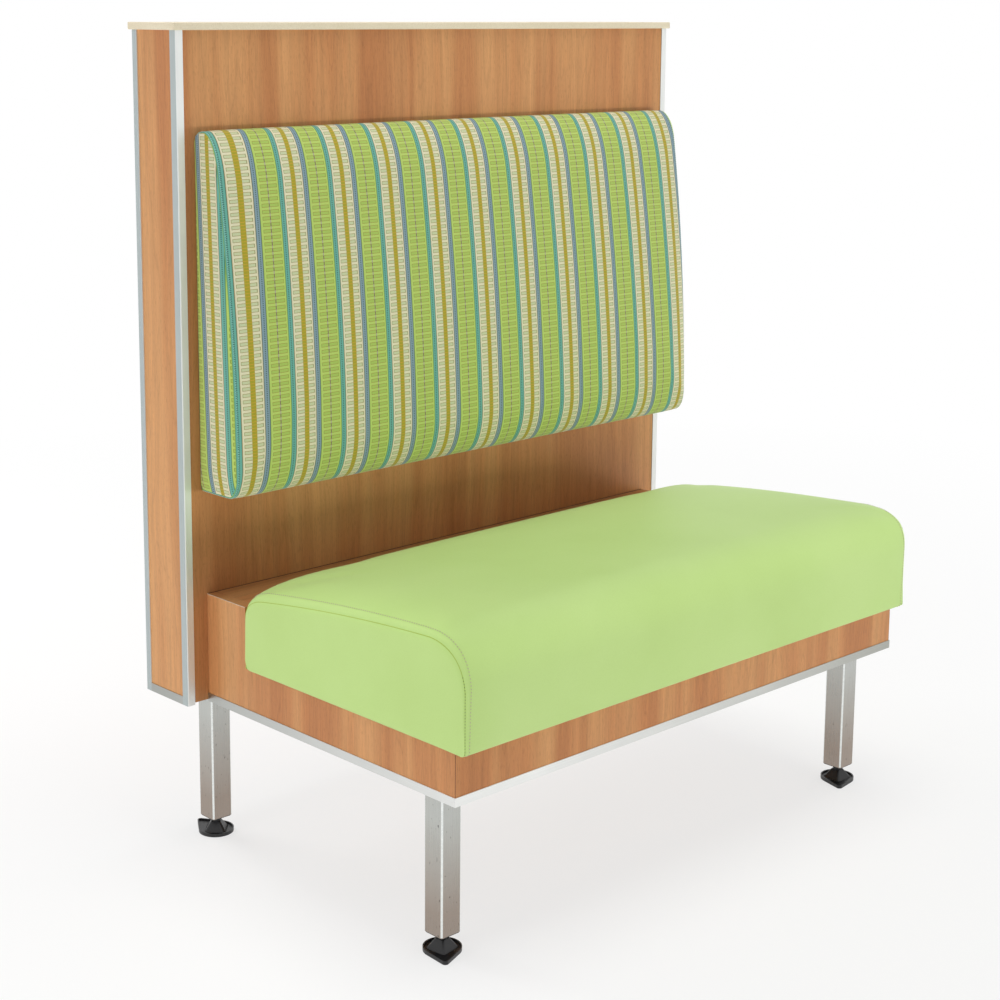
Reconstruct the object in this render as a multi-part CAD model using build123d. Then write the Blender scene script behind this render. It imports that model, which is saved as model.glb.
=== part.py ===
from build123d import *
from math import asin, cos, pi, radians, sin
import os

# Upholstered booth: a panelled back wall, a seat box on four square legs, a wedge-shaped
# back cushion and a crowned seat cushion. Millimetres, +Z up, the sitter faces -Y.
# The origin is on the floor, under the middle of the whole object.

# Sheet materials and extrusions
board = 18.0                # laminated board of every outer panel
plywood = 12.0              # board inside each cushion
trim_wall = 1.2             # wall of the aluminium trims
trim_leg = 13.4             # visible leg of the corner trims
trim_radius = 2.5           # rounded outer edge of the corner trims
base_trim_height = 13.0     # outer leg of the trims along the lower edges

# Back wall
wall_width = 1067.0         # over the corner trims
wall_thickness = 110.0      # over the corner trims
wall_height = 1262.0        # floor to the top of the cap
cap_thickness = 11.0
cap_overhang = 4.0          # beyond the corner trims, all round
cap_radius = 1.5
base_height = 239.0         # floor to the lower edge of the trims
wall_panel_lift = 3.0       # front and rear panels end this far above the corner trims
stile_width = 45.0
rail_height = 70.0          # vertical rails of the inner frame
cross_rail_height = 40.0    # solid rails across the top and the bottom
seat_rail_drop = 45.0       # top of the rail behind the seat, below the ledge

# Seat box
seat_inset = 38.5           # base trim, in from the wall's end on each side
seat_depth = 553.0          # wall face to the face of the front base trim
ledge_rise = 170.0          # base trim's lower edge to the top of the ledge
ledge_depth = 95.0
ledge_gap = 1.0             # shadow gap between the ledge and the wall
deck_rise = 76.0            # base trim's lower edge to the board under the cushion
front_rail_depth = 90.0
batten_depth = 30.0
batten_height = 40.0

# Legs
leg_size = 36.0
leg_wall = 2.0
leg_radius = 2.5
leg_inner_radius = 0.8
leg_clearance = 26.0        # floor to the lower end of a leg
front_leg_inset = 21.0      # outer face of a front leg, inside the base trim
front_leg_setback = 48.0    # front face of a front leg, behind the front trim
rear_leg_inset = 66.0       # outer face of a rear leg, inside the wall's end
rear_leg_setback = 30.0     # front face of a rear leg, behind the wall face
plate_length = 90.0
plate_width = 58.0
plate_thickness = 3.0
plate_recess = 3.0          # plate's underside above the lower edge of the panels
plate_radius = 4.0
plate_screw_edge = 5.0      # screw centre to the plate's long edges
plate_screw_end = 10.0      # screw centre to the plate's ends
plug_length = 30.0
plug_flange = 1.5           # flange of the plug under the tube's end
plug_flange_set_in = 1.0
plug_fit = 0.1              # play between the plug and the tube

# Levelling feet
stud_radius = 5.0
stud_length = 52.0
stud_chamfer = 1.0
thread_clearance = 0.05     # radial, stud in plug and stud in pad
pad_radius = 27.5
pad_corner_reach = 46.0     # pad centre to the tip of its rounded corner
pad_corner_radius = 5.0
pad_plate = 3.0
pad_rim_width = 2.0
pad_rim_height = 5.5
pad_height = 20.0
pad_pyramid_base = 34.0
pad_pyramid_top = 15.0
pad_pyramid_height = 17.5
pad_collar_radius = 7.0
pad_socket_depth = 12.0
pad_pyramid_radius = 4.0
pad_pyramid_top_radius = 3.0

# Seat cushion
cushion_side_lap = 3.0      # cushion beyond the base trim on each side
cushion_overhang = 22.0     # front of the cushion beyond the seat box
cushion_gap = 3.0           # cushion to the upright of the ledge
seat_rear_height = 83.0     # straight part of the rear edge
seat_rear_round_depth = 44.0
seat_rear_round_rise = 26.0
seat_crest_height = 140.0   # cushion's own height at the crest of its sewn edge
seat_crest_setback = 67.0   # crest behind the front face
seat_front_height = 115.0   # where the front face turns into the nose
seat_front_lean = 3.0
seat_top_camber = 8.0       # curve of the sewn edge along the top, above its chord
shoulder_width = 114.0      # the top swells from the side seam over this width
shoulder_rise = 22.0
crown_rise = 5.0            # further rise from the shoulders to the middle
front_bulge = 4.0
rear_swell_share = 0.4      # shares of the swell that reach the rear edge and the crest
crest_swell_share = 0.9
nose_round_share = 0.8      # height of the nose's middle point between face and crest
nose_reach_share = 0.73     # and its reach between crest and face
rear_round_share = 0.3      # reach and height of the middle point of the rear round
rear_round_rise_share = 0.72

# Back cushion
back_cushion_inset = 31.5   # cushion in from the wall's end on each side
back_cushion_drop = 157.0   # top of the cushion below the top of the cap
back_cushion_lift = 157.0   # ledge to the cushion's lower rear edge
back_base_depth = 90.0      # thickness over the lower part
back_top_depth = 46.0       # thickness where the top round starts
back_top_drop = 26.0        # where the top round starts, below the top
back_rear_drop = 7.0        # top edge at the wall, below the top
back_top_set_in = 10.0      # highest line of the top round, out from the wall
back_corner_radius = 10.0   # lower front corner
back_straight = 34.0        # upright part above the lower corner
back_camber = 9.0           # curve of the front face beyond its chord
back_crown = 3.0            # further swell in the middle
back_top_round_share = 0.64 # middle point of the top round, out from the wall
back_top_rise_share = 0.77

# Both cushions
cover_thickness = 1.2
cover_margin = 25.0         # cover folded behind the plywood
soft_clearance = 0.3        # foam to the inside of the cover
plywood_set_in = 3.0        # plywood inside the cover, all round

# Fasteners
bolt_radius = 3.0
bolt_head_radius = 5.5
bolt_head_height = 3.5
bolt_clearance = 0.3        # radial, in boards that a bolt only passes
bolt_grip = 9.0             # length held in the cushion's plywood
screw_radius = 2.0
screw_head_radius = 4.2
screw_head_height = 2.4
screw_length = 25.0
screw_grip_clearance = 0.02 # radial, in the wood or metal that a screw holds
bolt_end_share = 0.8        # bolts' places as a share of half the cushion's width
seat_bolt_row_share = 0.25  # seat bolts above and below the middle of their rail
back_bolt_level_share = 0.25        # back bolts in from the cushion's ends, share of its height
deck_screw_shares = (0.33, 0.75)    # rows of cushion screws, shares of the deck's depth

overrun = 2.0               # every cutting tool passes its faces by this
quarter_turn = 90
eighth_turn = 45
foot_headings = {"front_left": 233, "front_right": 221, "rear_left": 91, "rear_right": 20}
loft_angles = (0, 30, 60, 90)       # stations over the swelling shoulder, in degrees

# Levels and planes that the sizes above lead to
front_reach = seat_depth + cushion_overhang + seat_front_lean + front_bulge
rear_reach = wall_thickness - trim_wall + cap_overhang
wall_face_y = (front_reach - rear_reach) / 2
wall_trim_front_y = wall_face_y - trim_wall
wall_trim_rear_y = wall_trim_front_y + wall_thickness
wall_back_y = wall_trim_rear_y - trim_wall
cap_underside = wall_height - cap_thickness
panel_half = wall_width / 2 - trim_wall
cavity_front_y = wall_face_y + board
cavity_rear_y = wall_back_y - board
panel_underside = base_height + trim_wall
wall_panel_underside = base_height + wall_panel_lift
plate_underside = panel_underside + plate_recess
rail_underside = plate_underside + plate_thickness
frame_half = panel_half - board
rail_half = frame_half - stile_width
seat_trim_half = wall_width / 2 - seat_inset
seat_half = seat_trim_half - trim_wall
seat_inner_half = seat_half - board
seat_trim_front_y = wall_face_y - seat_depth
seat_face_y = seat_trim_front_y + trim_wall
seat_inner_front_y = seat_face_y + board
ledge_front_y = wall_face_y - ledge_depth
ledge_height = base_height + ledge_rise
deck_height = base_height + deck_rise
ledge_underside = ledge_height - board
deck_underside = deck_height - board
cushion_rear_y = ledge_front_y - cushion_gap
cushion_front_y = seat_trim_front_y - cushion_overhang
seat_cushion_half = seat_trim_half + cushion_side_lap
back_cushion_half = wall_width / 2 - back_cushion_inset
back_cushion_top = wall_height - back_cushion_drop
back_cushion_base = ledge_height + back_cushion_lift
bolt_passage = bolt_radius + bolt_clearance


def block(x_span, y_span, z_span):
    """A rectangular solid between the low and high ends of three spans."""
    sizes = [high - low for low, high in (x_span, y_span, z_span)]
    middles = [(high + low) / 2 for low, high in (x_span, y_span, z_span)]
    return Pos(*middles) * Box(*sizes)


def prism(points, z_span):
    """A plan outline drawn upward from the low to the high end of a span."""
    low, high = z_span
    face = make_face(Polyline(*points, close=True))
    return extrude(Pos(0, 0, low) * face, high - low)


def upright_rod(x, y, z_span, radius):
    """A round bar or hole standing on a vertical axis."""
    low, high = z_span
    return Pos(x, y, (low + high) / 2) * Cylinder(radius, high - low)


def level_rod(x, z, y_span, radius):
    """A round bar or hole lying front to back."""
    low, high = y_span
    return Pos(x, (low + high) / 2, z) * Rot(quarter_turn, 0, 0) * Cylinder(radius, high - low)


def both_sides(solid):
    """The left piece as given, and its mirror image on the right."""
    return {"left": solid, "right": mirror(solid, Plane.YZ)}


def without(solid, holes):
    """A solid with a list of holes cut out of it, if there are any."""
    return solid - holes if holes else solid


# Back wall: laminated panels on a plywood frame
def upright_panel(y_span, holes):
    panel = block((-panel_half, panel_half), y_span, (wall_panel_underside, cap_underside))
    return without(panel, holes)


def end_panel():
    x_span = (-panel_half, -frame_half)
    return block(x_span, (cavity_front_y, cavity_rear_y), (panel_underside, cap_underside))


def stile():
    x_span = (-frame_half, -rail_half)
    z_span = (rail_underside + cross_rail_height, cap_underside)
    return block(x_span, (cavity_front_y, cavity_rear_y), z_span)


def top_rail():
    z_span = (cap_underside - cross_rail_height, cap_underside)
    return block((-rail_half, rail_half), (cavity_front_y, cavity_rear_y), z_span)


def upright_rail(middle, holes):
    y_span = (cavity_front_y, cavity_front_y + board)
    z_span = (middle - rail_height / 2, middle + rail_height / 2)
    return without(block((-rail_half, rail_half), y_span, z_span), holes)


def bottom_rail(holes):
    """Carries the rear leg plates, so it runs from end panel to end panel under the stiles."""
    y_span = (cavity_front_y, cavity_rear_y)
    z_span = (rail_underside, rail_underside + cross_rail_height)
    return without(block((-frame_half, frame_half), y_span, z_span), holes)


def cap():
    half = wall_width / 2 + cap_overhang
    y_span = (wall_trim_front_y - cap_overhang, wall_trim_rear_y + cap_overhang)
    slab = block((-half, half), y_span, (cap_underside, wall_height))
    return fillet(slab.edges(), cap_radius)


def corner_trim(front):
    """Angle extrusion over a left corner of the wall, rounded outside and sharp inside."""
    corner_y = wall_trim_front_y if front else wall_trim_rear_y
    turn = 1 if front else -1
    left = -wall_width / 2
    inner_x = left + trim_wall
    inner_y = corner_y + turn * trim_wall
    points = [
        (left, corner_y),
        (left + trim_leg, corner_y),
        (left + trim_leg, inner_y),
        (inner_x, inner_y),
        (inner_x, corner_y + turn * trim_leg),
        (left, corner_y + turn * trim_leg),
    ]
    trim = prism(points, (base_height, cap_underside))
    outer_edge = trim.edges().filter_by(Axis.Z).sort_by_distance((left, corner_y, base_height))[0]
    return fillet(outer_edge, trim_radius)


def end_trim():
    """Angle under an end panel, between the two corner trims."""
    y_span = (wall_trim_front_y + trim_leg, wall_trim_rear_y - trim_leg)
    outer_x = -wall_width / 2
    leg = block((outer_x, outer_x + trim_wall), y_span, (base_height, base_height + base_trim_height))
    web = block((outer_x, -frame_half), y_span, (base_height, panel_underside))
    return leg + web


# Seat box: mitred boards, a ledge behind the cushion and a deck under it
def seat_side():
    """Board with a raised rear part under the ledge, mitred at the front corner."""
    plan = [
        (-seat_half, seat_face_y),
        (-seat_half, wall_face_y),
        (-seat_inner_half, wall_face_y),
        (-seat_inner_half, seat_inner_front_y),
    ]
    side = prism(plan, (panel_underside, ledge_height))
    x_span = (-seat_half - overrun, -seat_inner_half + overrun)
    y_span = (seat_face_y - overrun, ledge_front_y)
    return side - block(x_span, y_span, (deck_height, ledge_height + overrun))


def seat_front():
    plan = [
        (-seat_half, seat_face_y),
        (seat_half, seat_face_y),
        (seat_inner_half, seat_inner_front_y),
        (-seat_inner_half, seat_inner_front_y),
    ]
    return prism(plan, (panel_underside, deck_height))


def seat_rear(holes):
    x_span = (-seat_inner_half, seat_inner_half)
    y_span = (wall_face_y - board, wall_face_y)
    return without(block(x_span, y_span, (rail_underside, ledge_underside)), holes)


def ledge_riser():
    x_span = (-seat_inner_half, seat_inner_half)
    return block(x_span, (ledge_front_y, ledge_front_y + board), (rail_underside, ledge_underside))


def ledge_top():
    x_span = (-seat_inner_half, seat_inner_half)
    return block(x_span, (ledge_front_y, wall_face_y - ledge_gap), (ledge_underside, ledge_height))


def deck(holes):
    x_span = (-seat_inner_half, seat_inner_half)
    panel = block(x_span, (seat_inner_front_y, ledge_front_y), (deck_underside, deck_height))
    return without(panel, holes)


def deck_batten():
    x_span = (-seat_inner_half, seat_inner_half)
    y_span = (ledge_front_y - batten_depth, ledge_front_y)
    return block(x_span, y_span, (deck_underside - batten_height, deck_underside))


def front_rail(holes):
    """Block behind the front panel that carries the deck and both front leg plates."""
    x_span = (-seat_inner_half, seat_inner_half)
    y_span = (seat_inner_front_y, seat_inner_front_y + front_rail_depth)
    return without(block(x_span, y_span, (rail_underside, deck_underside)), holes)


def base_trim_side():
    """Angle under the left side board, mitred at the front and butted against the wall."""
    leg_plan = [
        (-seat_trim_half, seat_trim_front_y),
        (-seat_trim_half, wall_face_y),
        (-seat_half, wall_face_y),
        (-seat_half, seat_face_y),
    ]
    web_plan = [
        (-seat_trim_half, seat_trim_front_y),
        (-seat_trim_half, wall_face_y),
        (-seat_inner_half, wall_face_y),
        (-seat_inner_half, seat_inner_front_y),
    ]
    leg = prism(leg_plan, (base_height, base_height + base_trim_height))
    return leg + prism(web_plan, (base_height, panel_underside))


def base_trim_front():
    leg_plan = [
        (-seat_trim_half, seat_trim_front_y),
        (seat_trim_half, seat_trim_front_y),
        (seat_half, seat_face_y),
        (-seat_half, seat_face_y),
    ]
    web_plan = [
        (-seat_trim_half, seat_trim_front_y),
        (seat_trim_half, seat_trim_front_y),
        (seat_inner_half, seat_inner_front_y),
        (-seat_inner_half, seat_inner_front_y),
    ]
    leg = prism(leg_plan, (base_height, base_height + base_trim_height))
    return leg + prism(web_plan, (base_height, panel_underside))


# Legs: square tube, welded top plate, threaded plug
def leg_places():
    """The axis of each leg, and the side of it on which its plate reaches inward."""
    front_x = seat_trim_half - front_leg_inset - leg_size / 2
    front_y = seat_trim_front_y + front_leg_setback + leg_size / 2
    rear_x = wall_width / 2 - rear_leg_inset - leg_size / 2
    rear_y = wall_face_y + rear_leg_setback + leg_size / 2
    return {
        "front_left": (-front_x, front_y, 1),
        "front_right": (front_x, front_y, -1),
        "rear_left": (-rear_x, rear_y, 1),
        "rear_right": (rear_x, rear_y, -1),
    }


def plate_screw_places(x, y, inward):
    """Two screws beside the tube and two at the plate's inner end."""
    outer_end = x - inward * leg_size / 2
    xs = (outer_end + inward * plate_screw_end, outer_end + inward * (plate_length - plate_screw_end))
    dy = plate_width / 2 - plate_screw_edge
    return [(px, y + side * dy) for px in xs for side in (-1, 1)]


def leg_tube(x, y):
    section = RectangleRounded(leg_size, leg_size, leg_radius)
    hollow_size = leg_size - 2 * leg_wall
    section -= RectangleRounded(hollow_size, hollow_size, leg_inner_radius)
    low = leg_clearance + plug_flange
    return extrude(Pos(x, y, low) * section, plate_underside - low)


def leg_plate(x, y, inward):
    middle_x = x + inward * (plate_length - leg_size) / 2
    outline = RectangleRounded(plate_length, plate_width, plate_radius)
    plate = extrude(Pos(middle_x, y, plate_underside) * outline, plate_thickness)
    z_span = (plate_underside - overrun, rail_underside + overrun)
    holes = [
        upright_rod(px, py, z_span, screw_radius + bolt_clearance)
        for px, py in plate_screw_places(x, y, inward)
    ]
    return plate - holes


def leg_plug(x, y):
    core_size = leg_size - 2 * leg_wall - 2 * plug_fit
    core = RectangleRounded(core_size, core_size, leg_inner_radius)
    flange_size = leg_size - 2 * plug_flange_set_in
    flange = RectangleRounded(flange_size, flange_size, leg_radius)
    tube_end = leg_clearance + plug_flange
    plug = extrude(Pos(x, y, tube_end) * core, plug_length)
    plug += extrude(Pos(x, y, leg_clearance) * flange, plug_flange)
    z_span = (leg_clearance - overrun, tube_end + plug_length + overrun)
    return plug - upright_rod(x, y, z_span, stud_radius + thread_clearance)


# Levelling feet: threaded stud turning in a drop-shaped pad
def foot_stud(x, y):
    low = pad_height - pad_socket_depth
    stud = upright_rod(x, y, (low, low + stud_length), stud_radius)
    return chamfer(stud.edges().filter_by(GeomType.CIRCLE), stud_chamfer)


def drop_outline(radius, reach, corner_radius):
    """A circle drawn out to one rounded corner on the +X side."""
    corner_x = reach - corner_radius
    # the two flanks touch both circles, so they lean by the same angle
    lean = asin((radius - corner_radius) / corner_x)
    touch = pi / 2 - lean
    high = (radius * cos(touch), radius * sin(touch))
    tip_high = (corner_x + corner_radius * cos(touch), corner_radius * sin(touch))
    low = (high[0], -high[1])
    tip_low = (tip_high[0], -tip_high[1])
    lines = [
        Line(high, tip_high),
        ThreePointArc(tip_high, (reach, 0), tip_low),
        Line(tip_low, low),
        ThreePointArc(low, (-radius, 0), high),
    ]
    return make_face(lines)


def foot_pad(x, y, heading):
    outline = drop_outline(pad_radius, pad_corner_reach, pad_corner_radius)
    inner_reach = pad_corner_reach - pad_rim_width
    inner = drop_outline(pad_radius - pad_rim_width, inner_reach, pad_corner_radius - pad_rim_width)
    pad = extrude(outline, pad_rim_height)
    pad -= extrude(Pos(0, 0, pad_plate) * inner, pad_rim_height)
    base = Rot(0, 0, eighth_turn) * RectangleRounded(pad_pyramid_base, pad_pyramid_base, pad_pyramid_radius)
    top = Rot(0, 0, eighth_turn) * RectangleRounded(pad_pyramid_top, pad_pyramid_top, pad_pyramid_top_radius)
    pyramid = loft([Pos(0, 0, pad_plate) * base, Pos(0, 0, pad_pyramid_height) * top], ruled=True)
    pad += pyramid
    pad += upright_rod(0, 0, (pad_plate, pad_height), pad_collar_radius)
    socket_floor = pad_height - pad_socket_depth
    pad -= upright_rod(0, 0, (socket_floor, pad_height + overrun), stud_radius + thread_clearance)
    return Pos(x, y, 0) * Rot(0, 0, heading) * pad


# Cushions: lofted forms, each a sewn cover over foam on a plywood board
def arc_through(start, middle, end, x):
    points = [Vector(x, y, z) for y, z in (start, middle, end)]
    return ThreePointArc(*points)


def line_through(start, end, x):
    return Line(Vector(x, *start), Vector(x, *end))


def seat_section(x, inset, swell, crown):
    """Cross-section of the seat cushion at one station, drawn in by an inset.

    The swell is 0 at the side seam and 1 inside the shoulders; the crown is 1 in the middle.
    """
    rise = shoulder_rise * swell + crown_rise * crown
    rear = cushion_rear_y - inset
    front = cushion_front_y + inset - front_bulge * swell
    base = deck_height + inset
    rear_top = (rear, deck_height + seat_rear_height + rear_swell_share * rise)
    crown_rear_y = cushion_rear_y - seat_rear_round_depth
    crown_rear_z = deck_height + seat_rear_height + seat_rear_round_rise + rise - inset
    crest_y = cushion_front_y + seat_crest_setback
    crest_z = deck_height + seat_crest_height + crest_swell_share * rise - inset
    nose = (front - seat_front_lean, deck_height + seat_front_height)
    rear_mid_y = rear - seat_rear_round_depth * rear_round_share
    rear_mid_z = rear_top[1] + (crown_rear_z - rear_top[1]) * rear_round_rise_share
    top_mid = ((crown_rear_y + crest_y) / 2, (crown_rear_z + crest_z) / 2 + seat_top_camber)
    nose_mid_y = crest_y + (nose[0] - crest_y) * nose_reach_share
    nose_mid_z = nose[1] + (crest_z - nose[1]) * nose_round_share
    edges = [
        line_through((rear, base), rear_top, x),
        arc_through(rear_top, (rear_mid_y, rear_mid_z), (crown_rear_y, crown_rear_z), x),
        arc_through((crown_rear_y, crown_rear_z), top_mid, (crest_y, crest_z), x),
        arc_through((crest_y, crest_z), (nose_mid_y, nose_mid_z), nose, x),
        line_through(nose, (front, base), x),
        line_through((front, base), (rear, base), x),
    ]
    return make_face(edges)


def seat_form(inset):
    """The crowned form of the seat cushion: two swelling shoulders and the span between them."""
    half = seat_cushion_half - inset
    stations = []
    for angle in loft_angles:
        x = half - shoulder_width * (1 - cos(radians(angle)))
        crown = 1 - (x / half) ** 2
        stations.append((x, sin(radians(angle)), crown))
    shoulder = loft([seat_section(x, inset, swell, crown) for x, swell, crown in stations])
    inner_x, swell, crown = stations[-1]
    ends = [seat_section(side * inner_x, inset, swell, crown) for side in (-1, 1)]
    span = loft([ends[0], seat_section(0, inset, swell, 1), ends[1]])
    return mirror(shoulder, Plane.YZ) + span + shoulder


def back_section(x, inset, crown):
    """Cross-section of the back cushion: thick below, thin and rounded on top."""
    swell = back_crown * crown - inset
    rear = wall_face_y - inset
    base = back_cushion_base + inset
    front = wall_face_y - back_base_depth - swell
    corner_z = base + back_corner_radius
    corner_y = front + back_corner_radius
    arc_share = 1 - cos(radians(eighth_turn))
    corner_mid = (front + back_corner_radius * arc_share, base + back_corner_radius * arc_share)
    straight_top = back_cushion_base + back_straight
    shoulder = (wall_face_y - back_top_depth - swell, back_cushion_top - back_top_drop)
    camber_y = (front + shoulder[0]) / 2 - back_camber
    top = (wall_face_y - back_top_set_in, back_cushion_top - inset)
    round_y = wall_face_y - (back_top_depth + swell) * back_top_round_share
    round_z = shoulder[1] + (top[1] - shoulder[1]) * back_top_rise_share
    rear_top = (rear, back_cushion_top - back_rear_drop - inset)
    edges = [
        line_through((rear, base), (corner_y, base), x),
        arc_through((corner_y, base), corner_mid, (front, corner_z), x),
        line_through((front, corner_z), (front, straight_top), x),
        arc_through((front, straight_top), (camber_y, (straight_top + shoulder[1]) / 2), shoulder, x),
        arc_through(shoulder, (round_y, round_z), top, x),
        line_through(top, rear_top, x),
        line_through(rear_top, (rear, base), x),
    ]
    return make_face(edges)


def back_form(inset):
    half = back_cushion_half - inset
    stations = ((-half, 0), (0, 1), (half, 0))
    return loft([back_section(x, inset, crown) for x, crown in stations])


def seat_board_spans():
    edge = cover_thickness + plywood_set_in
    x_half = seat_cushion_half - edge
    low = deck_height + cover_thickness
    return (-x_half, x_half), (cushion_front_y + edge, cushion_rear_y - edge), (low, low + plywood)


def seat_cover():
    """Sewn skin, open underneath inside the margin that is folded under the plywood."""
    skin = seat_form(0) - seat_form(cover_thickness)
    x_half = seat_cushion_half - cover_margin
    y_span = (cushion_front_y + cover_margin, cushion_rear_y - cover_margin)
    z_span = (deck_height - overrun, deck_height + cover_thickness)
    return skin - block((-x_half, x_half), y_span, z_span)


def seat_foam():
    form = seat_form(cover_thickness + soft_clearance)
    x_span = (-seat_cushion_half, seat_cushion_half)
    y_span = (cushion_front_y - front_bulge, cushion_rear_y)
    return form - block(x_span, y_span, (deck_height, seat_board_spans()[2][1]))


def back_board_spans():
    edge = cover_thickness + plywood_set_in
    x_half = back_cushion_half - edge
    rear = wall_face_y - cover_thickness
    high = back_cushion_top - back_rear_drop - edge
    return (-x_half, x_half), (rear - plywood, rear), (back_cushion_base + edge, high)


def back_cover():
    skin = back_form(0) - back_form(cover_thickness)
    x_half = back_cushion_half - cover_margin
    z_span = (back_cushion_base + cover_margin, back_cushion_top - back_rear_drop - cover_margin)
    y_span = (wall_face_y - cover_thickness, wall_face_y + overrun)
    return skin - block((-x_half, x_half), y_span, z_span)


def back_foam():
    form = back_form(cover_thickness + soft_clearance)
    x_span = (-back_cushion_half, back_cushion_half)
    z_span = (back_cushion_base, back_cushion_top)
    return form - block(x_span, (back_board_spans()[1][0], wall_face_y), z_span)


# Fasteners, with the holes that they need
def back_bolt_places():
    """Bolt axes through the wall's two cushion rails, and the heights of those rails."""
    height = back_cushion_top - back_cushion_base
    inward = height * back_bolt_level_share
    levels = (back_cushion_base + inward, back_cushion_top - inward)
    x = back_cushion_half * bolt_end_share
    return [(side * x, z) for z in levels for side in (-1, 1)], levels


def back_bolt(x, z):
    """Bolt from inside the wall, through rail and panel, into the cushion's plywood."""
    seat = cavity_front_y + board
    tip = wall_face_y - cover_thickness - bolt_grip
    head = level_rod(x, z, (seat, seat + bolt_head_height), bolt_head_radius)
    return level_rod(x, z, (tip, seat), bolt_radius) + head


def seat_bolt_places():
    """Bolt axes through the seat's rear board, the wall panel and the rail behind it."""
    middle = ledge_height - seat_rail_drop - rail_height / 2
    offset = rail_height * seat_bolt_row_share
    x = seat_inner_half * bolt_end_share
    return [(side * x, middle + row * offset) for row in (-1, 1) for side in (-1, 1)], middle


def seat_bolt(x, z):
    """Bolt from inside the seat box into the wall's seat rail."""
    seat = wall_face_y - board
    head = level_rod(x, z, (seat - bolt_head_height, seat), bolt_head_radius)
    return level_rod(x, z, (seat, cavity_front_y + board), bolt_radius) + head


def deck_screw_places():
    x = seat_cushion_half * bolt_end_share
    span = ledge_front_y - seat_inner_front_y
    ys = [seat_inner_front_y + share * span for share in deck_screw_shares]
    return [(side * x, y) for y in ys for side in (-1, 1)]


def raised_screw(x, y, seat, length):
    """Screw driven upward, its head under the level it seats on."""
    shank = upright_rod(x, y, (seat, seat + length), screw_radius)
    return shank + upright_rod(x, y, (seat - screw_head_height, seat), screw_head_radius)


def save(name, shape):
    export_step(shape, f"parts/{name}.step")


def save_group(name, solids):
    save(name, Compound(children=solids))


def save_wall():
    places, levels = back_bolt_places()
    seat_places, seat_middle = seat_bolt_places()
    wall_span = (wall_face_y - overrun, cavity_front_y + board + overrun)
    cushion_holes = [level_rod(x, z, wall_span, bolt_passage) for x, z in places]
    seat_holes = [level_rod(x, z, wall_span, bolt_passage) for x, z in seat_places]
    grip = screw_radius + screw_grip_clearance
    leg_holes = [
        upright_rod(px, py, (rail_underside - overrun, plate_underside + screw_length), grip)
        for name, (x, y, inward) in leg_places().items() if name.startswith("rear")
        for px, py in plate_screw_places(x, y, inward)
    ]
    save("wall_front_panel", upright_panel((wall_face_y, cavity_front_y), cushion_holes + seat_holes))
    save("wall_rear_panel", upright_panel((cavity_rear_y, wall_back_y), []))
    save("wall_top_rail", top_rail())
    save("wall_upper_cushion_rail", upright_rail(levels[1], cushion_holes[2:]))
    save("wall_lower_cushion_rail", upright_rail(levels[0], cushion_holes[:2]))
    save("wall_seat_rail", upright_rail(seat_middle, seat_holes))
    save("wall_bottom_rail", bottom_rail(leg_holes))
    save("wall_cap", cap())
    pieces = {
        "wall_end_panel": end_panel(),
        "wall_stile": stile(),
        "corner_trim_front": corner_trim(True),
        "corner_trim_rear": corner_trim(False),
        "wall_end_trim": end_trim(),
    }
    for name, left in pieces.items():
        for side, solid in both_sides(left).items():
            save(f"{name}_{side}", solid)


def save_seat_box():
    seat_places, _ = seat_bolt_places()
    rear_span = (wall_face_y - board - overrun, wall_face_y + overrun)
    rear_holes = [level_rod(x, z, rear_span, bolt_passage) for x, z in seat_places]
    grip = screw_radius + screw_grip_clearance
    rail_holes = [
        upright_rod(px, py, (rail_underside - overrun, plate_underside + screw_length), grip)
        for name, (x, y, inward) in leg_places().items() if name.startswith("front")
        for px, py in plate_screw_places(x, y, inward)
    ]
    deck_span = (deck_underside - overrun, deck_height + overrun)
    deck_passage = screw_radius + bolt_clearance
    deck_holes = [upright_rod(x, y, deck_span, deck_passage) for x, y in deck_screw_places()]
    save("seat_front_panel", seat_front())
    save("seat_rear_panel", seat_rear(rear_holes))
    save("ledge_riser", ledge_riser())
    save("ledge_top", ledge_top())
    save("seat_deck", deck(deck_holes))
    save("deck_batten", deck_batten())
    save("front_leg_rail", front_rail(rail_holes))
    save("base_trim_front", base_trim_front())
    for name, left in {"seat_side_panel": seat_side(), "base_trim": base_trim_side()}.items():
        for side, solid in both_sides(left).items():
            save(f"{name}_{side}", solid)


def save_legs():
    screws = []
    for name, (x, y, inward) in leg_places().items():
        save(f"leg_tube_{name}", leg_tube(x, y))
        save(f"leg_plate_{name}", leg_plate(x, y, inward))
        save(f"leg_plug_{name}", leg_plug(x, y))
        save(f"foot_stud_{name}", foot_stud(x, y))
        save(f"foot_pad_{name}", foot_pad(x, y, foot_headings[name]))
        for px, py in plate_screw_places(x, y, inward):
            screws.append(raised_screw(px, py, plate_underside, screw_length))
    save_group("leg_plate_screws", screws)


def save_cushions():
    grip = screw_radius + screw_grip_clearance
    x_span, y_span, z_span = seat_board_spans()
    tip = deck_underside + screw_length
    pilot = (deck_height, tip)
    seat_holes = [upright_rod(x, y, pilot, grip) for x, y in deck_screw_places()]
    save("seat_cushion_plywood", block(x_span, y_span, z_span) - seat_holes)
    save("seat_cushion_foam", seat_foam())
    save("seat_cushion_cover", seat_cover())
    places, _ = back_bolt_places()
    x_span, y_span, z_span = back_board_spans()
    reach = (y_span[1] - bolt_grip, y_span[1] + overrun)
    held = bolt_radius + screw_grip_clearance
    back_holes = [level_rod(x, z, reach, held) for x, z in places]
    save("back_cushion_plywood", block(x_span, y_span, z_span) - back_holes)
    save("back_cushion_foam", back_foam())
    save("back_cushion_cover", back_cover())


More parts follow.
